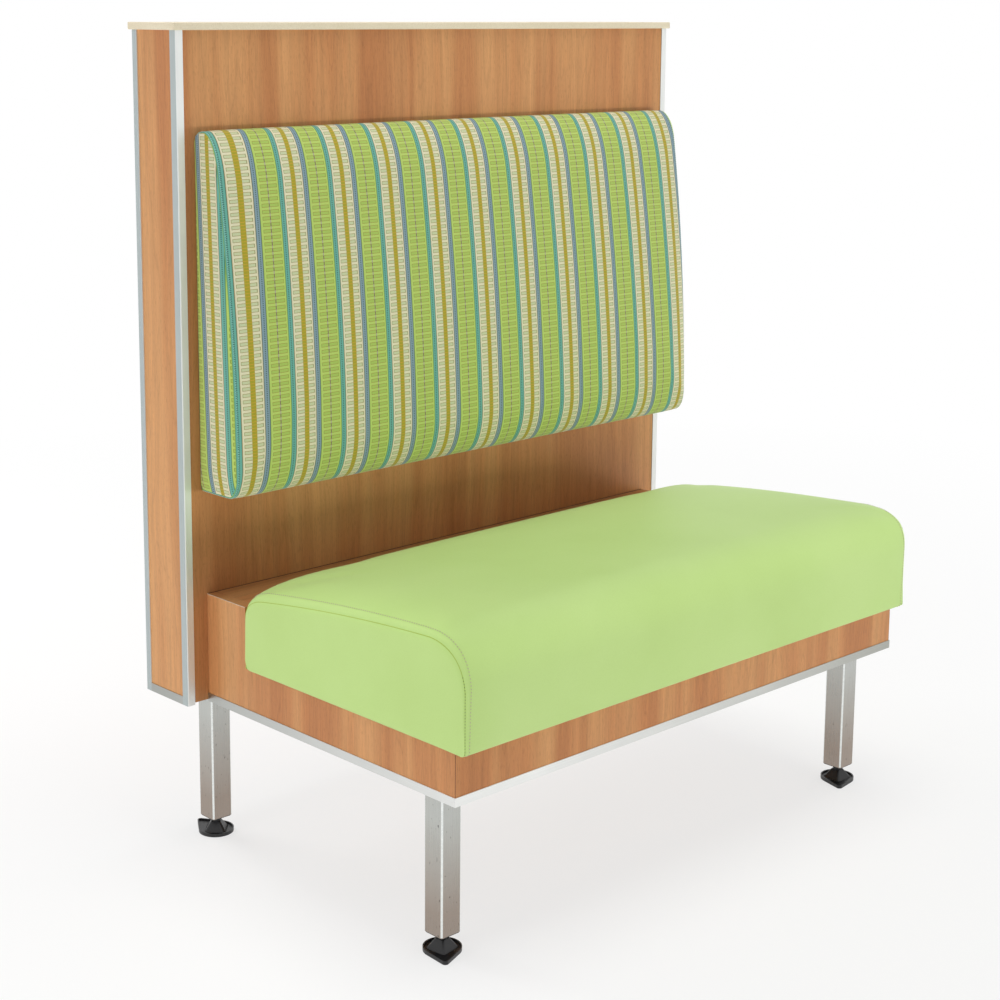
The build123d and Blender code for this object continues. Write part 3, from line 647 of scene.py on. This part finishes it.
def inflate(made, seams, is_held, share, cap):
    """Runs the solver and keeps a share of each move, capped in mm."""
    drawn = np.array([v.co for v in made.data.vertices])
    group = made.vertex_groups.new(name="held")
    group.add([i for loop in seams for i in loop], 1.0, "REPLACE")
    group.add([v.index for v in made.data.vertices if is_held(v.co / MM)], 1.0, "REPLACE")
    modifier = made.modifiers.new("cloth", "CLOTH")
    modifier.collision_settings.use_collision = False
    cloth = modifier.settings
    cloth.quality, cloth.mass = 6, 0.4
    cloth.tension_stiffness = cloth.compression_stiffness = 30
    cloth.shear_stiffness, cloth.bending_stiffness = 20, 6
    cloth.use_pressure, cloth.uniform_pressure_force = True, 4.0
    cloth.effector_weights.gravity = 0
    cloth.vertex_group_mass = group.name
    for frame_number in range(1, SOLVED_FRAMES + 1):
        scene.frame_set(frame_number)
    solved = made.evaluated_get(bpy.context.evaluated_depsgraph_get())
    moved = (np.array([v.co for v in solved.data.vertices]) - drawn) * share
    length = np.sqrt((moved ** 2).sum(1))
    moved *= np.minimum(1, cap * MM / np.maximum(length, 1e-9))[:, None]
    made.modifiers.remove(modifier)
    made.vertex_groups.clear()
    made.data.vertices.foreach_set("co", (drawn + moved).astype(np.float32).ravel())
    kept = np.sqrt((moved ** 2).sum(1)) / MM
    print(made.name, "swells by up to", round(kept.max(), 1), "mm, on average", round(kept.mean(), 1))


inflate(seat, seat_seams, lambda p: p.z < DECK + 0.5, share=0.3, cap=4)
inflate(back, back_seams, lambda p: p.y > WALL_Y - 0.5, share=0.2, cap=3)
scene.frame_set(1)

# %% [markdown]
# After the cloth is at rest, the seam line itself is pulled in by two or three
# millimetres, the way thread tension does, and one round of subdivision smooths the skin.

# %% Pull the seams in and smooth
SEAM_PULL = 2.6  # mm


def loop_points(made, loops):
    """Each loop as (points, normals)."""
    made.data.update()
    parts = [[made.data.vertices[i] for i in loop] for loop in loops]
    return [([v.co.copy() for v in part], [v.normal.copy() for v in part]) for part in parts]


def tightened(made, seams, rows):
    """Pulls the seams in along the normals, and gives the paths of the seams and the rows."""
    for loop, (points, normals) in zip(seams, loop_points(made, seams)):
        for i, normal in zip(loop, normals):
            made.data.vertices[i].co -= normal * (SEAM_PULL * MM)
    return loop_points(made, seams), loop_points(made, rows)


def worked_out(made):
    """A plain mesh of what an object's modifiers or bevel make."""
    return bpy.data.meshes.new_from_object(made.evaluated_get(bpy.context.evaluated_depsgraph_get()))


def smooth_skin(made, axis, limit):
    """Applies one subdivision, then keeps the skin off the deck below or the wall behind it."""
    modifier = made.modifiers.new("skin", "SUBSURF")
    modifier.levels = modifier.render_levels = 1
    modifier.uv_smooth = "NONE"
    done = worked_out(made)
    made.modifiers.clear()
    made.data = done
    nearest = max if axis == 2 else min
    for v in done.vertices:
        v.co[axis] = nearest(v.co[axis], limit * MM)
    done.polygons.foreach_set("use_smooth", [True] * len(done.polygons))
    done.update()
    lay_panels(done)


seat_seam_paths, seat_row_paths = tightened(seat, seat_seams, seat_rows)
back_seam_paths, back_row_paths = tightened(back, back_seams, back_rows)
smooth_skin(seat, 2, DECK + 0.1)
smooth_skin(back, 1, WALL_Y - 0.1)
print("skins:", len(seat.data.polygons), "and", len(back.data.polygons), "faces")

# %% [markdown]
# ## Green vinyl
# The seat is upholstered in expanded vinyl: a soft plastic skin embossed with a fine
# leather grain on a knitted back. It is satin, evenly coloured, and the grain breaks the
# highlight up more than it shows by itself.

# %% Green vinyl
# Expanded and embossed: a soft wide sheen, and a colour that hardly changes.
green_vinyl, tree, shader = finish(
    "embossed_green_vinyl", Roughness=0.5, Specular_IOR_Level=0.42, Sheen_Weight=0.08
)
place = node(tree, "TexCoord").outputs["Object"]
soft = {"feature": "SMOOTH_F1"}
pebble = node(tree, "TexVoronoi", soft, Vector=place, Scale=1 / (1.6 * MM), Smoothness=0.6)
wave = node(tree, "TexNoise", Vector=place, Scale=5.0, Detail=3.0)
fine = node(tree, "TexNoise", Vector=place, Scale=1 / (0.9 * MM))
colours = [(0.3, "#B7D480"), (0.5, "#BAD784"), (0.7, "#BDD988")]
base = node(tree, "ValToRGB", {"stops": colours}, wave)
pit = node(tree, "MapRange", None, pebble, 0.1, 0.7, 1.0, 0.97)
toned = node(tree, "VectorMath", "SCALE", base, Scale=pit)
rough = node(tree, "MapRange", None, fine, 0.3, 0.7, 0.45, 0.56)
height = node(tree, "Mix", _0=0.4, _2=pebble, _3=fine)
relief = node(tree, "Bump", {"invert": True}, Strength=0.10, Distance=0.0003, Height=height)
feed(shader, Base_Color=toned, Roughness=rough, Normal=relief)
seat.data.materials.append(green_vinyl)
print(green_vinyl.name)

# %% [markdown]
# ## Striped woven cover
# The back is covered in a jacquard: coloured yarns float over and under each other to
# draw stripes and ladders. One repeat is 96 mm wide. From the teal stripe on: a cream
# ladder, an olive-gold stripe, a cream ladder, a slate stripe, a green ladder with a thin
# mauve line, and teal again. The ladders' rungs are 9.4 mm apart.
# Three ramps hold the colours across the cloth: on a rung, in the gap between two rungs,
# and on the thin outline of the gap. The place along the cloth picks one of them.

# %% Striped woven cover
RUNG = 9.4  # mm from rung to rung
THREAD = 1.0  # mm; the yarns are finer, but would not show
DOT_PITCH = 2.7  # mm between the dark dots on the edges of the teal and slate stripes

# Woven from dull yarns: no gloss, a faint fuzz at grazing angles, and crisp stripes.
striped, tree, shader = finish(
    "striped_jacquard_cover", Roughness=0.86, Specular_IOR_Level=0.25, Sheen_Weight=0.25
)
cloth = node(tree, "UVMap", {"uv_map": "cloth"})
part = node(tree, "SeparateXYZ", None, cloth).outputs
across, along = (
    node(tree, "Math", "FRACT", node(tree, "Math", "DIVIDE", part[axis], repeat))
    for axis, repeat in ((0, STRIPE_REPEAT), (1, RUNG))
)

teal, teal_edge, slate, slate_edge = "#68AA9B", "#2F7562", "#829AA6", "#4C6B60"
tan, cream, gold, moss, sage, sand = "#A98F62", "#DAD6B6", "#A39A2A", "#8A8F55", "#C3CAA0", "#998B5A"
fern, lime, leaf, olive, bronze = "#8FA546", "#B4CB68", "#A4BE5B", "#7C8F34", "#96903E"
left = [(0, teal), (3.8, teal_edge), (4.6, tan), (5.4, cream)]
middle = [(42.6, tan), (43.2, slate_edge), (44.2, slate), (51.4, slate_edge), (52.3, fern), (53.0, lime)]
right = [(91.2, "#84A84A"), (92.0, teal_edge), (92.6, teal)]
on_rung = [*left, (20.4, gold), (29.0, cream), *middle, (70.6, "#A79F92"), (72.4, lime), *right]
in_gap = [
    *left, (8.0, moss), (8.9, sage), (20.4, gold), (29.0, sage), (39.4, moss), (40.3, cream), *middle,
    (56.8, olive), (57.6, leaf), (70.6, "#7C7158"), (72.4, leaf), (87.6, olive), (88.4, lime), *right,
]
on_outline = [
    *left, (8.0, sand), (20.4, "#D0A03C"), (29.0, sand), (40.3, cream), *middle,
    (56.8, bronze), (70.6, "#8A7D68"), (72.4, bronze), (88.4, lime), *right,
]
black, full = "#000000", "#FFFFFF"
dotted = [(0, full), (1.0, black), (46.6, full), (49.0, black), (94.8, full)]
ramps = []
for colours in (on_rung, in_gap, on_outline, dotted):
    steps = [(mm / STRIPE_REPEAT, colour) for mm, colour in colours]
    ramps.append(node(tree, "ValToRGB", {"steps": steps}, across))
gap = node(tree, "ValToRGB", {"steps": [(0, black), (0.44, full)]}, along)
edges = [(0, black), (0.40, full), (0.48, black), (0.92, full)]
outline = node(tree, "ValToRGB", {"steps": edges}, along)


def ripple(axis, pitch):
    """A sine along the cloth, with a pitch in mm."""
    return node(tree, "Math", "SINE", node(tree, "Math", "MULTIPLY", part[axis], tau / pitch))


dot = node(tree, "MapRange", None, ripple(1, DOT_PITCH), -0.2, 0.2, 0.0, 0.85)
dot = node(tree, "Math", "MULTIPLY", dot, ramps[3])
colour = ramps[0]
for share, over in ((gap, ramps[1]), (outline, ramps[2]), (dot, linear("#1F4F4A"))):
    colour = node(tree, "Mix", {"data_type": "RGBA"}, _0=share, _6=colour, _7=over).outputs[2]
weave = node(tree, "Math", "MULTIPLY", ripple(0, THREAD), ripple(1, THREAD))
wander = node(tree, "TexNoise", Vector=cloth, Scale=0.9)
lift = node(tree, "Math", "MULTIPLY_ADD", weave, 0.05, wander)
shade = node(tree, "MapRange", None, lift, 0.25, 0.75, 0.9, 1.08)
toned = node(tree, "VectorMath", "SCALE", colour, Scale=shade)
height = node(tree, "Math", "MULTIPLY_ADD", weave, 0.5, outline)
relief = node(tree, "Bump", {"invert": True}, Strength=0.22, Distance=0.0004, Height=height)
feed(shader, Base_Color=toned, Normal=relief)
back.data.materials.append(striped)
print(striped.name)

# %% [markdown]
# ## Seams and stitches
# A seam shows as a fine ridge of folded cloth lying in a valley. It is a thin tube along
# the seam loop. Beside it runs a row of topstitching: single short stitches, every few
# millimetres, each sunk halfway into the cloth.
# Stitches repeat along a path, so Geometry Nodes make them: resample the path, put a
# small ball on each point, stretch and turn it along the path, and make it real.

# %% A node tree that sews along a path
sew_along_path = tree = bpy.data.node_groups.new("sew_along_path", "GeometryNodeTree")
sockets = {"Path": "Geometry", "Pitch": "Float", "Stitch Length": "Float", "Thread": "Float"}
for label, kind in {**sockets, "Yarn": "Material"}.items():
    tree.interface.new_socket(label, in_out="INPUT", socket_type="NodeSocket" + kind)
tree.interface.new_socket("Stitches", in_out="OUTPUT", socket_type="NodeSocketGeometry")
given = node(tree, "NodeGroupInput").outputs
path = node(tree, "GeometryNodeMeshToCurve", Mesh=given["Path"])
spaced = node(tree, "GeometryNodeResampleCurve", {"mode": "LENGTH"}, Curve=path, Length=given["Pitch"])
half_length = node(tree, "Math", "MULTIPLY", given["Stitch Length"], 0.5)
half_thread = node(tree, "Math", "MULTIPLY", given["Thread"], 0.5)
ball = node(tree, "GeometryNodeMeshUVSphere", Segments=6, Rings=4)
size = node(tree, "CombineXYZ", X=half_thread, Y=half_thread, Z=half_length)
along = node(tree, "GeometryNodeInputTangent")
turned = node(tree, "FunctionNodeAlignRotationToVector", {"axis": "Z"}, Vector=along)
each = {"Points": spaced, "Instance": ball, "Rotation": turned, "Scale": size}
sewn = node(tree, "GeometryNodeInstanceOnPoints", **each)
real = node(tree, "GeometryNodeRealizeInstances", Geometry=sewn)
round_thread = node(tree, "GeometryNodeSetShadeSmooth", Geometry=real)
dyed = node(tree, "GeometryNodeSetMaterial", Geometry=round_thread, Material=given["Yarn"])
node(tree, "NodeGroupOutput", Stitches=dyed)
print("tree sockets:", [socket.name for socket in tree.interface.items_tree])


# %% Sew rows of stitches
def sew(name, runs, yarn, pitch, length, thread):
    """Stitches along runs of points, kept as a plain mesh. Sizes in mm."""
    points, edges = [], []
    for run in runs:
        edges += [(len(points) + i, len(points) + i + 1) for i in range(len(run) - 1)]
        points += run
    data = bpy.data.meshes.new(name)
    data.from_pydata(points, edges, [])
    made = linked(name, data)
    modifier = made.modifiers.new("sewing", "NODES")
    modifier.node_group = sew_along_path
    sizes = {"Pitch": pitch * MM, "Stitch Length": length * MM, "Thread": thread * MM, "Yarn": yarn}
    for item in sew_along_path.interface.items_tree:
        if item.name in sizes:
            modifier[item.identifier] = sizes[item.name]
    bpy.context.view_layer.update()
    done = worked_out(made)
    made.modifiers.clear()
    made.data = done
    print(name, len(done.vertices), "points")
    return made


def lifted(runs, by):
    """The points of each run, moved out along their normals by some mm."""
    return [[p + n * (by * MM) for p, n in zip(*run)] for run in runs]


# Bonded polyester thread, twisted: small matt beads, greyer or darker than the cover. The
# grey is set darker than its thread, partly painted shade of the stitch holes.
grey_yarn_and_hole_shade = mottled("beige_grey_yarn_and_hole_shade", "#A89F8A", "#BAB19C", 0.8, 0.7, 0.4)
teal_yarn = mottled("pale_teal_yarn", "#9CC4B8", "#BEDBD2", 0.8, 0.7, 0.4)
# The dark green is painted shade: the shadow inside the stitch holes.
stitch_hole_shade = mottled("stitch_hole_painted_shade", "#4F6A22", "#5E7A2C", 0.8, 0.7, 0.4)
# Down the front the seam is pulled tight, and dark dots along it are painted shade of
# its stitch holes.
FRONT_POINTS = 14
down_front = [(points[-FRONT_POINTS:], normals[-FRONT_POINTS:]) for points, normals in seat_seam_paths]
seat_topstitch = sew("seat_cushion_topstitch", lifted(seat_row_paths, 0.15), grey_yarn_and_hole_shade, 4.6, 2.3, 1.4)
seat_seam_stitch_shade = sew("seat_cushion_seam_stitch_shade", lifted(down_front, 0.5), stitch_hole_shade, 4.2, 2.4, 1.2)
back_topstitch = sew("back_cushion_topstitch", lifted(back_row_paths, 0.15), teal_yarn, 3.6, 2.0, 0.9)


# %% Ridges along the seams
def ridge(name, runs, radius, material):
    """Thin tubes along the runs, as one mesh. The radius is in mm."""
    curve = bpy.data.curves.new(name, "CURVE")
    curve.dimensions, curve.use_fill_caps = "3D", True
    curve.bevel_depth, curve.bevel_resolution = radius * MM, 2
    for points, normals in runs:
        spline = curve.splines.new("POLY")
        spline.points.add(len(points) - 1)
        for place, point in zip(spline.points, points):
            place.co = (*point, 1)
    temporary = linked(name + "_path", curve)
    bpy.context.view_layer.update()
    data = worked_out(temporary)
    bpy.data.objects.remove(temporary)
    bpy.data.curves.remove(curve)
    data.name = name
    data.materials.clear()
    data.materials.append(material)
    data.polygons.foreach_set("use_smooth", [True] * len(data.polygons))
    print(name, len(data.polygons), "faces")
    return linked(name, data)


# The fold is coloured darker than its cover: painted shade of the seam's valley.
seam_vinyl_painted_shade = mottled("vinyl_fold_painted_shade", "#92AE3C", "#A9C250", 1.0, 0.55, 0.2)
seam_cloth_painted_shade = mottled("cloth_fold_painted_shade", "#6FA046", "#A4BE5B", 1.0, 0.85, 0.3)
seat_seam = ridge("seat_cushion_seam", seat_seam_paths, 0.8, seam_vinyl_painted_shade)
back_seam = ridge("back_cushion_seam", back_seam_paths, 0.9, seam_cloth_painted_shade)

# %% [markdown]
# ## Threaded studs
# Each foot hangs on an M10 stud. Its thread is a single surface: a point's radius
# depends only on how far it is from the helix, so a grid round and along the stud gives
# the whole screw. The pitch of 1.5 mm is what one turn raises or lowers the foot.

# %% Cut the threads
PITCH = 1.5


def threaded_stud(name, x, y, low, high, root, crest, around=28, per_turn=5):
    """A helical grid with chamfered, closed ends. All sizes are in mm, root and crest as radii."""
    rows = int((high - low) / PITCH * per_turn)
    mesh = bmesh.new()
    grid = []
    for i in range(rows + 1):
        z = low + (high - low) * i / rows
        ring = []
        for j in range(around):
            turn_share = j / around
            phase = (z / PITCH - turn_share) % 1.0
            tooth = 1 - abs(2 * phase - 1)
            tooth = min(1.0, max(0.0, tooth * 1.4 - 0.2))  # flat root and crest
            end = min(1.0, (min(z - low, high - z) + 0.3) / 1.2)  # chamfer at both ends
            radius = root + (crest - root) * tooth * end - (1 - end) * 0.5
            angle = tau * turn_share
            ring.append(mesh.verts.new(Vector((x + radius * cos(angle), y + radius * sin(angle), z)) * MM))
        grid.append(ring)
    for lower, upper in zip(grid, grid[1:]):
        hoop(mesh, lower, upper)
    mesh.faces.new(grid[0][::-1])
    mesh.faces.new(grid[-1])
    return mesh_object(name, mesh, zinc)


CORNERS = ("front_left", "front_right", "rear_left", "rear_right")
for corner in CORNERS:
    low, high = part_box(f"foot_stud_{corner}")
    x, y, z = (low + high) / 2 / MM
    stud = threaded_stud(f"threaded_stud_{corner}", x, y, low.z / MM, high.z / MM, root=4.1, crest=5.0)
    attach(stud, f"{corner}_stud")
    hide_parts(f"foot_stud_{corner}")
print("four studs,", len(stud.data.polygons), "faces each")

# %% [markdown]
# ## Edges of the laminate
# A laminated board shows its dark paper core as a hairline where two faces meet in a
# mitre, and an edge is drawn as a pale line. Where the ledge meets the wall, a dark strip
# is painted shadow in the unfilled joint. All are strips about a millimetre wide, modelled as slim bars.

# %% Hairlines at the corners
def slim_bar(name, start, end, size, material):
    """A four-sided bar with softened edges between two points, in mm."""
    mesh = bmesh.new()
    bmesh.ops.create_cube(mesh, size=1.0)
    low = Vector([min(a, b) - size / 2 for a, b in zip(start, end)])
    high = Vector([max(a, b) + size / 2 for a, b in zip(start, end)])
    for v in mesh.verts:
        v.co = Vector([(l if c < 0 else h) for c, l, h in zip(v.co, low, high)]) * MM
    bmesh.ops.bevel(mesh, geom=mesh.edges[:], offset=size * 0.2 * MM, segments=2, affect="EDGES")
    made = mesh_object(name, mesh, material)
    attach(made, "booth")


EDGE_X, MITRE_Y, LEDGE_Z = 493.5, -316.9, 408.8  # mm, where the boards meet
for side, turn in (("left", -1), ("right", 1)):
    x = turn * EDGE_X
    slim_bar(f"mitre_line_{side}", (x, MITRE_Y, 252.4), (x, MITRE_Y, 314.6), 0.7, core_line_and_joint_shadow)
    slim_bar(f"ledge_edge_{side}", (x, 140.2, LEDGE_Z), (x, 233.8, LEDGE_Z), 0.9, pale_edge)
# A dark strip in the joint along the wall: painted shadow of the gap.
slim_bar("ledge_wall_painted_shadow", (-491, 233.9, 408.9), (491, 233.9, 408.9), 1.3, core_line_and_joint_shadow)
print("two mitre lines, two ledge edges and the wall joint")

# %% [markdown]
# Each rounded corner of a leg tube carries a painted highlight, a bright line from top to
# bottom: a closed strip that follows the corner's own quarter circle, a tenth of a
# millimetre proud, paler and glossier than the steel beside it.

# %% Painted highlights on the corners of the leg tubes
LEG_CORNER = 2.5  # mm, the tube's corner radius
PROUD, SUNK = 0.12, 0.5  # mm, the strip's outer face over it and inner face under it
# A painted highlight: paler than the ground steel, and glossier, so it mirrors the room
# more clearly than the faces beside it.
painted_corner_highlight = mottled("tube_corner_painted_highlight", "#E4E8E6", "#F2F5F3", 4.0, 0.22, 0.05, metallic=1.0)
angles = [radians(8 + 74 * i / 6) for i in range(7)]
for place in CORNERS:
    low, high = (Vector(c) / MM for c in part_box(f"leg_tube_{place}"))
    mesh = bmesh.new()
    for x, across in ((low.x, 1), (high.x, -1)):
        for y, along in ((low.y, 1), (high.y, -1)):
            middle = (x + across * LEG_CORNER, y + along * LEG_CORNER)
            reach = [(LEG_CORNER + PROUD, a) for a in angles] + [(LEG_CORNER - SUNK, a) for a in angles[::-1]]
            ring = [(middle[0] - across * r * cos(a), middle[1] - along * r * sin(a)) for r, a in reach]
            levels = (low.z + 1, high.z - 1)
            ends = [[mesh.verts.new((px * MM, py * MM, z * MM)) for px, py in ring] for z in levels]
            hoop(mesh, *ends)
            mesh.faces.new(ends[0])
            mesh.faces.new(ends[1])
    corners = mesh_object(f"leg_corner_highlights_{place}", mesh, painted_corner_highlight)
    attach(corners, "booth")
print("bright corners on four leg tubes")

# %% [markdown]
# ## Hand the soft pieces over
# Each made piece rides on the body that carries it, and stands for the solids it hides.

# %% Ride and replace
for piece, hidden, slot in (
    (seat, ("seat_cushion_cover", "seat_cushion_foam"), "green_vinyl"),
    (back, ("back_cushion_cover", "back_cushion_foam"), "striped_fabric"),
    (seat_topstitch, (), "green_vinyl"),
    (seat_seam_stitch_shade, (), "green_vinyl"),
    (back_topstitch, (), "striped_fabric"),
    (seat_seam, (), "green_vinyl"),
    (back_seam, (), "striped_fabric"),
):
    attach(piece, "booth")
    if hidden:
        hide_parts(*hidden)

# %% [markdown]
# ## The studio
# The booth stands on a pale floor in a white room. A big soft box overhead and two low
# ones in front leave the niche under the back cushion dark, because the cushions block
# them. Softer boxes stand at the sides and behind, and the room gives a weak even fill.
# The camera and the metals see the room as white; everything else is lit at a level where
# a colour looks as it is written.

# %% Floor
FLOOR_HALF, FLOOR_LEVEL = 9, -0.0006  # metres; a hair under the pads


def looked_at(tree):
    """1 where the camera, a mirror or something clear looks, 0 where light is only gathered."""
    ray = node(tree, "LightPath").outputs
    seen = node(tree, "Math", "MAXIMUM", ray["Is Camera Ray"], ray["Is Glossy Ray"])
    return node(tree, "Math", "MAXIMUM", seen, ray["Is Transmission Ray"])


floor_data = bpy.data.meshes.new("studio_floor")
outline = [(x * FLOOR_HALF, y * FLOOR_HALF, FLOOR_LEVEL) for x, y in ((-1, -1), (1, -1), (1, 1), (-1, 1))]
floor_data.from_pydata(outline, [], [(0, 1, 2, 3)])
floor = linked("studio_floor", floor_data)
# Painted with matt white: no gloss, so nothing is mirrored under the booth.
floor_paint, tree, shader = finish("matt_white_floor", Roughness=0.9, Specular_IOR_Level=0.1)
speckle = node(tree, "TexNoise", Scale=3.0)
base = node(tree, "ValToRGB", {"stops": [(0.3, "#EDEDEC"), (0.7, "#F0F0F0")]}, speckle)
feed(shader, Base_Color=base)
# Seen directly it glows a little, more so farther out, and so fades into the white room.
place = node(tree, "TexCoord").outputs["Object"]
away = node(tree, "VectorMath", "LENGTH", place).outputs["Value"]
glow_share = node(tree, "MapRange", None, away, 0.9, 3.2, 0.70, 1.0)
share = node(tree, "Math", "MULTIPLY", looked_at(tree), glow_share)
glow = node(tree, "Emission")
lit = node(tree, "MixShader", None, share, shader, glow)
feed(tree.nodes["Material Output"], Surface=lit)
floor_data.materials.append(floor_paint)
# The booth is the fixed body, so the floor follows a foot when the feet are wound out.
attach(floor, "front_left_foot")

# %% Room and lamps
world = bpy.data.worlds.new("white_room")
scene.world = world
world.use_nodes = True
tree = world.node_tree
tree.nodes.clear()
fill = node(tree, "Background", Color=(1, 1, 1, 1), Strength=0.40)
white = node(tree, "Background", Color=(1, 1, 1, 1))
both = node(tree, "MixShader", None, looked_at(tree), fill, white)
node(tree, "OutputWorld", Surface=both)


def soft_lamp(name, place, size, power, target=(0, 0, 0.6)):
    """A soft box of (width, height) in metres that faces its target."""
    lamp = bpy.data.lights.new(name, "AREA")
    lamp.shape, lamp.energy = "RECTANGLE", power
    lamp.size, lamp.size_y = size
    made = linked(name, lamp)
    made.location = place
    made.visible_glossy = False  # metal mirrors the white room, not the boxes
    made.rotation_mode = "QUATERNION"
    made.rotation_quaternion = (Vector(target) - Vector(place)).to_track_quat("-Z", "Y")


soft_lamp("overhead_box", (0.1, -0.3, 4.6), (2.4, 2.4), 95, (0, -0.05, 0.6))
soft_lamp("low_front_box", (0.4, -3.4, 0.24), (1.6, 0.4), 24, (0, 0, 0.5))
soft_lamp("low_front_right_box", (2.3, -3.1, 0.24), (1.6, 0.4), 23, (0, 0, 0.5))
soft_lamp("left_box", (-4.3, 0.1, 0.55), (1.2, 0.9), 54)
soft_lamp("right_box", (4.3, 0.1, 0.55), (1.2, 0.9), 45)
soft_lamp("rear_box", (-0.8, 3.6, 2.4), (2.4, 1.8), 75)
scene.view_settings.view_transform = "Standard"
